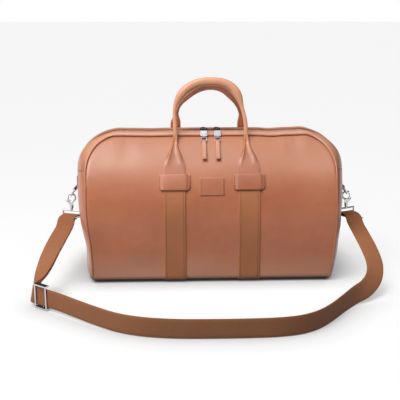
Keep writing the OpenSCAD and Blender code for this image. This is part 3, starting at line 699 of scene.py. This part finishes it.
def base():
    """The tray under the bag, with its rolled edge; its dark colour is painted shade for the shadow under
    the bag.
    """
    deep = sines(steps(-90, 90, 21))

    def ring(z, d):
        edge = seam_x(max(z, 4)) - (0 if z > 4 else rolled(z) - rolled(4))
        right = [(edge + (end_x(z) - edge) * bulge(t) - d, t * (half_depth(z) - d), z + d) for t in deep]
        return right + [(-x, -y, zz) for x, y, zz in right]

    heights = [0, 0.15, 0.5, 1.1, 1.8, 2.7, 3.8, 5, 6.3]
    outer = [ring(z, 0) for z in heights]
    inner = [[(x, y, max(zz, BASE_T)) for x, y, zz in ring(z, BASE_T)] for z in heights]
    return build("base_leather", *pot(outer, inner), SHADED_BASE, "bag", nodes=["bottom_panel"], soft=False)


def lining():
    """Cloth bag inside the leather, a little slack."""
    deep = sines(steps(-90, 90, 15))
    heights = [6.2, 8, 12, 20] + steps(34, 196, 12) + [210, 224, 236, 246, 252]

    def ring(z, d):
        edge = min(seam_x(max(z, 14)), seam_x(min(z, 258)))
        bulk = end_x(max(z, 20)) - edge
        if z > CORNER_Z - 40:
            bulk = bulk * 0.8 * ease(CROWN_CZ + 62, CROWN_CZ, z)
        low = 4 * ease(22, 6, z)
        depth = half_depth(max(z, 14)) - 6.5 - low - d
        right = []
        for t in deep:
            slack = 1.2 * noise.noise(Vector((t * 2.5, z * 0.02, 8.1)))
            right.append((edge - 9 - low - d + max(0, bulk - 3) * bulge(t) + slack, t * depth, z))
        far, near = ([(x, s * (depth + 1.4 * noise.noise(Vector((x * 0.012, z * 0.02, 3.3 * s)))), z)
                      for x in steps(150 * s, -150 * s, 21)] for s in (1, -1))
        return right + far + [(-x, -y, zz) for x, y, zz in right] + near

    outer = [ring(z, 0) for z in heights]
    inner = [[(x, y, max(zz, FLOOR_Z)) for x, y, zz in ring(z, LINING_T)] for z in heights]
    shape = pot(outer, inner)
    return build("lining_bag", *shape, LINING, "bag", slot="lining", nodes=["lining"], soft=False)


def piping(side):
    """Leather-covered cord in the seam round the front or back, pulled thin down the sides."""
    right = [(seam_x(z) - THIN_IN + (PIPING_OUT + THIN_IN) * ease(180, 200, z), z)
             for z in [6.5, 8, 10, 12.5, 15.5, 19] + steps(25, 200, 26)]
    r = CORNER_R + PIPING_OUT
    right += [(CORNER_X + r * math.sin(math.radians(a)), CORNER_Z + r * math.cos(math.radians(a)))
              for a in range(88, -1, -4)]
    half = [Vector((x, side * (half_depth(min(z, SEAM_Z)) - 0.3), z)) for x, z in right]
    middle = [Vector((x, side * (HALF_TOP - 0.3), SEAM_Z + PIPING_OUT)) for x in steps(164, -164, 42)]
    line = half + middle + [Vector((-p.x, p.y, p.z)) for p in reversed(half)]
    turns = [math.radians(36 * k) for k in range(10)]
    rings = []
    for p, t in zip(line, tangents(line)):
        u = Vector((0, side, 0.02))
        u = (u - t * u.dot(t)).normalized()
        v = t.cross(u)
        r = THIN_R + (PIPING_R - THIN_R) * ease(175, 225, p.z)
        rings.append([p + (u * math.cos(q) + v * math.sin(q)) * r for q in turns])
    name = SIDE_NAME[side]
    return build(f"piping_leather_{name}", *tube(rings), TRIM, "bag", nodes=[f"piping_{name}"])


# ---- zip gusset and zip
FLAP_U = [0, 0.04, 0.1, 0.2, 0.34, 0.5, 0.66, 0.8, 0.9, 0.96, 1]


def flap_lift(u):
    """Height of the rolled gusset strip above the crown line, from its seam to the zip."""
    rise = 2.5 * math.sin(math.radians(90 * min(1, u / 0.36)))
    return rise - 1.5 * ease(0.5, 1, u) - 0.5 * ease(0.93, 1, u)


def seam_line(s):
    a = math.radians(s)
    return CORNER_X + CORNER_R * math.sin(a), CORNER_Z + CORNER_R * math.cos(a)


def crown_line(s):
    a = math.radians(s)
    return CROWN_X + CROWN_A * math.sin(a), CROWN_CZ + CROWN_B * math.cos(a)


def gusset_point(s, y, lift):
    """A point of the corner gusset at angle s round the corner, y across it, lift above it."""
    a, c = seam_line(s), crown_line(s)
    deep = half_depth(a[1]) - SEAM_IN
    b = bulge(min(1, abs(y) / deep))
    lift *= 1 - 0.9 * ease(58, 88, s) if lift > 0 else 1
    out = (math.sin(math.radians(s)), math.cos(math.radians(s)))
    return [a[0] + (c[0] - a[0]) * b + out[0] * lift, y, a[1] + (c[1] - a[1]) * b + out[1] * lift]


def flap_y(deep, u):
    return deep - (deep - FLAP_Y) * u


def corner_gusset(side, end):
    grids = []
    for lift in (0, -STRIP_T):
        grid = []
        for s in steps(0, 90, 31):
            deep = half_depth(seam_line(s)[1]) - SEAM_IN
            row = [gusset_point(s, side * flap_y(deep, u), flap_lift(u) + lift) for u in FLAP_U]
            grid.append([[end * x, y, z] for x, y, z in row])
        first = [[end * (ZIP_HALF + 0.2), p[1], z] for p, z in zip(grid[0], flap_heights(lift))]
        grids.append([first] + grid)
    name = f"{SIDE_NAME[side]}_{END_NAME[end]}"
    return build(f"gusset_corner_{name}", *slab(*grids), TRIM, "bag", nodes=[f"gusset_{name}"])


def flap_heights(lift):
    deep = HALF_TOP - SEAM_IN
    return [SEAM_Z + (FLAP_Z - SEAM_Z) * bulge(flap_y(deep, u) / deep) + flap_lift(u) + lift for u in FLAP_U]


def mouth_half(kind, node, shape, material, slot, side, end):
    """Half of a straight zip part."""
    name = SIDE_NAME[side]
    obj = build(f"{kind}_{name}_half_{END_NAME[end]}", *shape, material, slot=slot,
                nodes=[f"{node}_{name}"] if end == LEFT else ())
    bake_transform(obj)


def straight_gusset(side, end):
    deep = HALF_TOP - SEAM_IN
    grids = [[[[end * x, side * flap_y(deep, u), h] for u, h in zip(FLAP_U, flap_heights(lift))]
              for x in steps(0, ZIP_HALF + 0.2, 33)] for lift in (0, -STRIP_T)]
    mouth_half("gusset", "gusset", slab(*grids), TRIM, "leather", side, end)


def straight_tape(side, end):
    top = [[[end * x, side * y, TAPE_Z + 0.75] for y in (19.4, 14, 9, 5, 2.6)]
           for x in steps(0, ZIP_HALF, 33)]
    low = [[[x, y, z - 0.7] for x, y, z in row] for row in top]
    mouth_half("tape", "zip_tape", slab(top, low), TAPE, "zip_tape", side, end)


def corner_tape(end):
    across = [-19.4, -12, -6, -2, 2, 6, 12, 19.4]

    def point(s, y, lift):
        x, z = crown_line(s)
        a = math.radians(s)
        return [end * (x + math.sin(a) * lift), y, z + math.cos(a) * lift]

    grids = []
    for lift in (-3.5, -4.2):
        first = [[end * (ZIP_HALF + 0.1), y, point(0, y, lift)[2]] for y in across]
        grids.append([first] + [[point(s, y, lift) for y in across] for s in steps(0, 90, 31)])
    name = END_NAME[end]
    build(f"tape_corner_{name}", *slab(*grids), TAPE, "bag", slot="zip_tape", nodes=[f"zip_end_{name}"])


TOOTH = 3.0  # spacing of the teeth on one tape
TOOTH_SHAPE = [(-0.62, 3.6), (0.62, 3.6), (0.62, 0.4), (0.95, -0.2), (0.6, -1.0), (-0.6, -1.0),
               (-0.95, -0.2), (-0.62, 0.4)]  # along the zip, across it
TOOTH_RISE = ((0.0, 0.9), (0.5, 1.0), (1.3, 0.86))  # height and scale of its three rings


def tooth(points, faces, centre, along, out, side):
    """One metal tooth, clamped on its tape and reaching over the middle."""
    across = Vector((0, side, 0))
    rings = []
    for h, grow in TOOTH_RISE:
        rings.append([centre + along * (a * grow * 1.05) + across * (1.3 + (y - 1.3) * grow) + out * h
                      for a, y in TOOTH_SHAPE])
    add_tube(points, faces, rings)


def straight_teeth(side, end):
    points, faces = [], []
    x = 0.6 + (TOOTH / 2 if side == BACK else 0)
    while x < ZIP_HALF - 1:
        centre = Vector((end * x, side * 1.3 * ease(14, 8, x), TAPE_Z + 0.85))
        tooth(points, faces, centre, Vector((1, 0, 0)), UP, side)
        x += TOOTH
    mouth_half("teeth", "zip_teeth", (points, faces), TEETH, "zip_metal", side, end)


def corner_teeth(end):
    points, faces = [], []
    s, side = 0.6, BACK
    while s < 89.5:
        (x, z), (x2, z2) = crown_line(s), crown_line(s + 0.1)
        along = Vector((end * (x2 - x), 0, z2 - z))
        per_degree = along.length / 0.1
        along.normalize()
        out = Vector((-along.z, 0, along.x)) * end
        tooth(points, faces, Vector((end * x, 0, z)) - out * 3.3, along, out, side)
        s += TOOTH / 2 / per_degree
        side = -side
    name = END_NAME[end]
    build(f"teeth_corner_{name}", points, faces, TEETH, "bag", slot="zip_metal", nodes=[f"zip_chain_{name}"])


# ---- bands, keepers and patch
UNDER = 0.1  # their inner faces are this far off the leather
LOOSE, LOOSE_BY = 22.4, 2.5  # a keeper lies this much higher, out to this far from its middle


def applied(name, side, grid, top, material, slot="leather", nodes=(), rim=0.9, weave=None):
    """A flat piece on the front or back. grid holds rows of (x, z, distance to the piece's edge)."""
    outer = [[face(x, z, top(x, z) - 0.6 * max(0.0, 1 - gap / rim) ** 2, side) for x, z, gap in row]
             for row in grid]
    inner = [[face(x, z, UNDER, side) for x, z, _ in row] for row in grid]
    return build(name, *slab(outer, inner), material, "bag", slot, nodes, weave=weave)


def across(half, n):
    """Positions across a piece, closer together near its two edges."""
    edge = [half, half - 0.25, half - 0.7]
    return [-x for x in edge] + steps(-half + 1.4, half - 1.4, n) + edge[::-1]


def band(side, end):
    rows = [PANEL_Z, 7, 8, 9.5, 11.5, 14] + steps(17, 181, 50) + [182, 182.6, BAND_TOP]
    half, middle = BAND_W / 2, end * BAND_X
    grid = [[(middle + x, z, min(half - abs(x), BAND_TOP - z)) for x in across(half, 9)] for z in rows]
    name = f"{SIDE_NAME[side]}_{END_NAME[end]}"
    threads = [(x, z) for row in grid for x, z, _ in row] * 2
    applied(f"band_webbing_{name}", side, grid, lambda x, z: 1.7, WEB, "webbing", [f"band_{name}"],
            rim=0.6, weave=threads)
    runs = side_runs(middle, half - 4, 1.75, 0.1, side, steps(9, 169, 41))
    sewing(f"band_stitches_{name}", runs, "bag", pitch=3.6, stitch=2.6, r=0.3, material=DARK_THREAD)


def keeper(side, end):
    """A wide leather loop over the band and the handle's sewn end, stitched down at both sides."""
    half, low, high, middle = KEEPER_W / 2, KEEPER_Z0, KEEPER_Z1, end * BAND_X
    r = KEEPER_R
    near = [half, half - 0.2, half - 0.6, half - 1.2]
    grid = []
    for v in [0, 0.02, 0.05] + steps(0.1, 0.9, 10) + [0.95, 0.98, 1]:
        row = []
        for x in [-a for a in near] + steps(-half + 2.2, half - 2.2, 29) + near[::-1]:
            cut = max(0.0, abs(x) - (half - r))
            low_x = low + r - math.sqrt(max(0, r * r - cut * cut))
            high_x = high - 0.6 * ease(22, 26, abs(x))
            z = low_x + (high_x - low_x) * v
            row.append((middle + x, z, min(half - abs(x), z - low_x + 0.01, high_x - z)))
        grid.append(row)

    def top(x, z):
        out = abs(x - middle)
        return 2.4 + 2.2 * ease(25.2, 20.6, out) + 0.5 * bell(z, (low + high) / 2, 14) * ease(24, 10, out)

    name = f"{SIDE_NAME[side]}_{END_NAME[end]}"
    obj = applied(f"keeper_leather_{name}", side, grid, top, TRIM, nodes=[f"keeper_{name}"])
    raise_inside(obj, middle, side)
    runs = side_runs(middle, half - 2.0, 2.45, 0.4, side, steps(low + 3.5, high - 2, 9))
    sewing(f"keeper_stitches_{name}", runs, "bag", pitch=3.2, stitch=2.3, material=DARK_THREAD)


def raise_inside(obj, x0, side):
    """Lift the inner face of a keeper off the band and the handle's end, which pass under it."""
    half = len(obj.data.vertices) // 2
    for k, v in enumerate(obj.data.vertices):
        out = abs(v.co.x / MM - x0)
        if k >= half and out < LOOSE:
            away, up = normal(v.co.z / MM)
            v.co += Vector((0, side * away, up)) * (LOOSE_BY * ease(LOOSE, LOOSE - 0.8, out) * MM)


def patch():
    half, low, high = PATCH_W / 2, PATCH_Z, PATCH_Z + PATCH_H
    rows = [low, low + 0.25, low + 0.8] + steps(low + 2, high - 2, 14) + [high - 0.8, high - 0.25, high]
    grid = []
    for z in rows:
        row = []
        for x in across(half, 21):
            tall = min(z - low, high - z)
            inset = PATCH_R - math.sqrt(max(0, PATCH_R**2 - max(0, PATCH_R - tall) ** 2))
            x *= (half - inset) / half
            row.append((x, z, min(half - inset - abs(x), tall)))
        grid.append(row)

    def top(x, z):
        inside = min(half - 5.4 - abs(x), z - low - 3, high - 3 - z)
        return 1.5 - 0.45 * bell(inside, 0, 0.5) - 0.12 * ease(0, 1.5, inside)

    applied("patch_leather", FRONT, grid, top, TRIM, nodes=["patch"])
    runs = side_runs(0, half - 2.2, 1.5, 0.2, FRONT, steps(low + 2, high - 2, 9))
    sewing("patch_stitches", runs, "bag", pitch=2.9, stitch=2.0, material=DARK_THREAD)


# ---- handles
HINGE_Z, HINGE_Y = 253.8, 50.13
LEG_X = 65.0
LEAN = {FRONT: math.radians(19.6), BACK: math.radians(27.4)}
ARCH = {FRONT: (108, 2.5, 24), BACK: (105, 2.0, 12)}  # length, power of the arch, straight part of the leg
SWAY = {FRONT: 3.5, BACK: 2.0}  # each handle stands a little to the left halfway up
FLARE = {FRONT: 0, BACK: 6}  # the back handle's necks are longer and wider
RING_U = [0, 0.16, 0.32, 0.46, 0.58, 0.68, 0.77, 0.85, 0.91, 0.955, 0.985, 1]
HANDLE_FINE = 4  # steps between two stations of a handle
SEWN_Z, SEWN_U = 290, 0.30  # the grip is sewn above this height, this far across its inner face


def grip_half(s):
    return 3.7 - 0.4 * bell(s, 52, 14) + 4.2 * ease(57, 89, s)


def on_grip(x, s, side):
    """A point of a handle's middle line, s millimetres above its hinge, and its outward direction."""
    a = LEAN[side]
    point = Vector((x, side * (HINGE_Y - s * math.sin(a)), HINGE_Z + s * math.cos(a)))
    return point, Vector((0, side * math.cos(a), math.sin(a)))


# the sewn end: height, shift along x, half width, half thickness and squareness of the section
SEWN_END = [(184, 0, 19.5, 1.1, 9), (190, 0, 19.5, 1.1, 9), (197, 0, 19.5, 1.1, 9), (204, 0, 19.5, 1.1, 9),
            (211, 0, 19.2, 1.15, 8), (217, 0, 17.9, 1.25, 7), (223, -0.1, 15.3, 1.5, 5.5),
            (229, -0.3, 11.9, 1.9, 4.4), (234.5, -0.6, 8.7, 2.3, 3.6), (239.5, -0.9, 6.3, 2.7, 3)]
# the neck about the hinge: x, place along the handle, half width and half thickness
NECK = [(65.7, -4.8, 4.9, 3.1), (65.2, 2.5, 4.1, 3.3), (LEG_X, 9, 3.9, 3.5)]


def handle_stations(side):
    """Half a handle, from its sewn end to the crown: point, outward and the section's shape."""
    flare = FLARE[side]
    out = []
    for z, shift, half, thick, square in SEWN_END:
        away, up = normal(z)
        p = face(BAND_X + shift, z, thick + 0.1, side)
        shape = (half + flare * ease(212, 238, z), thick, square)
        out.append((Vector(p), Vector((0, side * away, up)), shape))
    for x, s, half, thick in NECK:
        point, facing = on_grip(x, s, side)
        shape = (half + flare, thick - 0.2 * flare, 2.6)
        out.append((point + facing * 0.4 * ease(12, 0, s), facing, shape))
    length, power, straight = ARCH[side]
    path = [(LEG_X, straight)] if side == FRONT else []
    for a in (2, 5, 9, 14, 20, 27, 35, 44, 53, 62, 71, 80, 90):
        q = math.radians(a)
        s = straight + (length - straight) * math.sin(q) ** (2 / power)
        path.append((LEG_X * math.cos(q) ** (2 / power), s))
    for x, s in path:
        point, facing = on_grip(x, s, side)
        w = grip_half(s)
        wide = flare * ease(46, 20, s)
        out.append((point, facing, (w + wide, 0.95 * w - 0.2 * wide, 2.3)))
    return out


def rounded(u, thick, square):
    """Half thickness of a section at u, its place across from -1 to 1."""
    return thick * max(0.0, 1 - abs(u) ** square) ** (1 / square)


def handle_ring(p, along, facing, shape, fold, seam):
    """A ring of points: a flat or round section, its two front folds and the seam on its inner face."""
    half, thick, square = shape
    n = (facing - along * facing.dot(along)).normalized()
    w = n.cross(along)
    us = [-u for u in reversed(RING_U)] + RING_U[1:]
    ring = []
    for u in us:
        ridge = fold * math.exp(-(((abs(u) - 0.66) / 0.17) ** 2)) - 0.35 * fold * bell(u, 0, 0.35)
        ring.append(p + w * (half * u) + n * (rounded(u, thick, square) + ridge))
    for u in reversed(us[1:-1]):
        ring.append(p + w * (half * u) - n * (rounded(u, thick, square) - seam * bell(u, 0, 0.10)))
    return ring, w, n


def handle(side):
    right = handle_stations(side)
    stations = right + [(Vector((-p.x, p.y, p.z)), f, sh) for p, f, sh in reversed(right[:-1])]
    line = curve_through([p for p, _, _ in stations], HANDLE_FINE)
    facing = curve_through([f * 20 for _, f, _ in stations], HANDLE_FINE)
    shape = curve_through([Vector(sh) for _, _, sh in stations], HANDLE_FINE)
    for p in line:
        s = (p.z - HINGE_Z) / math.cos(LEAN[side])
        p.x += 1.5 * ease(85, 108, s) - SWAY[side] * bell(s, 62, 25)
    rings = []
    rows = {-1: [], 1: []}
    for p, t, f, sh in zip(line, tangents(line), facing, shape):
        on_tab = ease(205, 226, p.z) * ease(264, 247, p.z)
        ring, w, n = handle_ring(p, t, f.normalized(), sh, 1.7 * on_tab, 0.7 * ease(284, 296, p.z))
        rings.append(ring)
        if p.z > SEWN_Z:
            for k in rows:
                lift = rounded(SEWN_U, sh[1], sh[2])
                rows[k].append((p + w * (sh[0] * SEWN_U * k) - n * (lift - 0.1), -n))
    name = SIDE_NAME[side]
    nodes = [f"handle_{name}"] + [f"handle_tab_{name}_{e}" for e in ("left", "right")]
    obj = build(f"handle_leather_{name}", *tube(rings), GRIP_LIT, nodes=nodes, sharp=50)
    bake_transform(obj)
    runs = list(rows.values())
    sewing(f"handle_stitches_{name}", runs, f"grip_{name}", pitch=3.3, stitch=2.4, soft=False)
    tab_stitches(side)


def tab_stitches(side):
    runs = side_runs(LEFT * BAND_X, 17.2, 2.25, 0.5, side, steps(198, 213, 6))
    runs += side_runs(RIGHT * BAND_X, 17.2, 2.25, 0.5, side, steps(198, 213, 6))
    sewing(f"tab_stitches_{SIDE_NAME[side]}", runs, "bag", pitch=3.0, stitch=2.1, r=0.28)


# ---- pull tabs and the leather that holds the rings
LOOP_FINE = 5  # steps between two points of a strip's line


def leather_loop(name, body, line, sizes, direction, thick, nodes):
    """A flat leather strip along line, its width along direction; sizes holds a width for each point."""
    line = curve_through(line, LOOP_FINE)
    sizes = curve_through([Vector((w, 0, 0)) for w in sizes], LOOP_FINE)
    rings = []
    for p, t, size in zip(line, tangents(line), sizes):
        w = (direction - t * direction.dot(t)).normalized()
        n = t.cross(w)
        half, h = size.x / 2, thick / 2
        upper = [(half, 0.3 * h), (half - 0.35, h), (half * 0.5, h)]
        profile = [(-a, b) for a, b in upper] + upper[::-1]
        rings.append([p + w * a + n * b for a, b in profile + [(a, -b) for a, b in reversed(profile)]])
    return build(name, *tube(rings), TRIM, body, nodes=nodes, soft=False, sharp=50)


def pull_tab(end):
    """A strip folded through the link and sewn to itself."""
    eye = Vector((end * 12.5, -43.0, 256.4))
    a = math.radians(42.5)
    down, up = Vector((0, -math.cos(a), -math.sin(a))), Vector((0, -math.sin(a), math.cos(a)))
    wide = Vector((1, 0, 0))

    def at(s, h):
        return eye + down * s + up * h

    line = [(50, 0.62), (49, 0.62), (36, 0.6), (22, 0.6), (15, 0.62), (12.6, 1.0), (10.6, 1.45),
            (9.0, 1.05), (8.5, 0), (9.0, -1.05), (10.6, -1.4), (12.6, -0.95), (15, -0.62), (22, -0.6),
            (36, -0.6), (49, -0.62), (50, -0.62)]
    sizes = [8.2, 8.2, 8, 7.8, 7.4, 7, 6.8, 6.8]
    name = END_NAME[end]
    points = [at(*q) for q in line]
    sizes += [6.8] + sizes[::-1]
    leather_loop(f"pull_leather_{name}", f"puller_{name}", points, sizes, wide, 1.15, [f"pull_tab_{name}"])
    runs = [[(at(s, 1.2) + wide * (k * 2.9), up) for s in steps(17, 47.5, 8)] for k in (-1, 1)]
    runs.append([(at(47.5, 1.2) + wide * x, up) for x in (-2.9, 0, 2.9)])
    sewing(f"pull_stitches_{name}", runs, f"puller_{name}", pitch=2.4, stitch=1.7, r=0.22, soft=False)


def chape(end):
    """The strip sewn high on each end, folded round the bar of the D-ring."""
    side = Vector((0, 1, 0))
    bar = Vector((257.1, 0, 153))
    line = [(252.2, 178), (252.2, 172), (252.2, 166), (252.8, 161), (254.9, 157.6), (257.6, 155.7)]
    line += [(bar.x + 2.65 * math.cos(math.radians(a)), bar.z + 2.65 * math.sin(math.radians(a)))
             for a in (40, 5, -35, -75, -115, -155, 165)]
    line += [(253.6, 155.8), (251.7, 159.6), (251.05, 166), (251.05, 172), (251.05, 178)]
    sizes = [24, 24, 24, 23, 21, 20] + [20] * 7 + [20, 22, 24, 24, 24]
    points = [Vector((end * x, 0, z)) for x, z in line]
    name = END_NAME[end]
    leather_loop(f"chape_leather_{name}", "bag", points, sizes, side, 1.1, [f"chape_{name}"])

    def spot(y, z):
        return Vector((end * 252.75, y, z)), Vector((end, 0, 0))

    runs = [[spot(y, z) for z in steps(164, 176, 4)] for y in (-10, 10)]
    runs += [[spot(y, z) for y in (-10, 0, 10)] for z in (164, 176)]
    sewing(f"chape_stitches_{name}", runs, "bag", pitch=2.8, stitch=2.0, r=0.28, soft=False)


# ---- light and floor
def soft_light(name, at, aim, width, height, power):
    data = bpy.data.lights.new(name, "AREA")
    data.shape, data.size, data.size_y, data.energy = "RECTANGLE", width, height, power
    stand(name, data, at, Vector(aim) - Vector(at))


def sun(name, towards, spread, strength):
    """A very broad distant light."""
    data = bpy.data.lights.new(name, "SUN")
    data.energy, data.angle = strength, math.radians(spread)
    stand(name, data, (0, 0, 0), -towards)


ROOM, CEILING = 0.04, 0.9  # brightness of the room and of the panel over it


def surroundings(world):
    """A dim room with a bright strip at floor level and a pale ceiling, plain white to the camera."""
    m = Nodes("room", world)
    z = m.split(m.place("Generated"))[2]
    strip = m.span(m.math("ABSOLUTE", z), 0.02, 0.06, 1.0, ROOM)
    glow = m.math("ADD", strip, m.span(z, 0.87, 0.96, 0.0, CEILING))
    seen = m.add("ShaderNodeLightPath").outputs["Is Camera Ray"]
    m.set(Color=(1, 1, 1, 1), Strength=m.math("MAXIMUM", glow, seen))


def studio():
    scene = bpy.context.scene
    scene.view_settings.view_transform = "Standard"
    scene.world = scene.world or bpy.data.worlds.new("studio")
    surroundings(scene.world)
    sun("high_left", bearing(-46, 62), 36, 2.05)
    soft_light("left_box", (-0.95, -0.6, 0.5), (-0.1, -0.05, 0.12), 0.5, 0.7, 2.8)
    soft_light("high_left_box", (-0.55, -0.75, 1.35), (-0.15, -0.05, 0.25), 0.3, 0.4, 2.6)
    soft_light("high_right_box", (0.55, -0.75, 1.35), (0.15, -0.05, 0.25), 0.3, 0.4, 2.2)
    mesh = bpy.data.meshes.new("floor")
    mesh.from_pydata([(-40, -30, 0), (40, -30, 0), (40, 50, 0), (-40, 50, 0)], [], [(0, 1, 2, 3)])
    floor = bpy.data.objects.new("floor", mesh)
    scene.collection.objects.link(floor)
    floor.visible_diffuse = False
    m = Nodes("pale_floor")
    # Painted contact shadow: the floor's glow is darkened by ambient occlusion near the bag.
    near = m.add("ShaderNodeAmbientOcclusion", {"Distance": 0.06}).outputs["Color"]
    m.set(Base_Color=m.blend(m.noise(m.place(), 3, 2, 0.5), (0.31, 0.31, 0.31, 1), (0.33, 0.33, 0.33, 1)),
          Emission_Color=near, Emission_Strength=0.67, Roughness=0.9)
    mesh.materials.append(m.material)


# ---- making it
camera()
strap()
for side in (FRONT, BACK):
    panel(side)
    piping(side)
    handle(side)
    for end in (LEFT, RIGHT):
        corner_gusset(side, end)
        straight_gusset(side, end)
        straight_tape(side, end)
        straight_teeth(side, end)
        band(side, end)
        keeper(side, end)
for end in (LEFT, RIGHT):
    end_panel(end)
    corner_tape(end)
    corner_teeth(end)
    pull_tab(end)
    chape(end)
base()
lining()
patch()
studio()

KEPT = {"base_board": BOARD, "adjuster": CHROME}
for part in ("zip_slider", "pull_plate", "pull_link", "dring", "hook", "gate", "eye"):
    for end in ("left", "right"):
        KEPT[f"{part}_{end}"] = CHROME
for node, material in KEPT.items():
    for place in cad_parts[node].material_slots:
        place.material = material
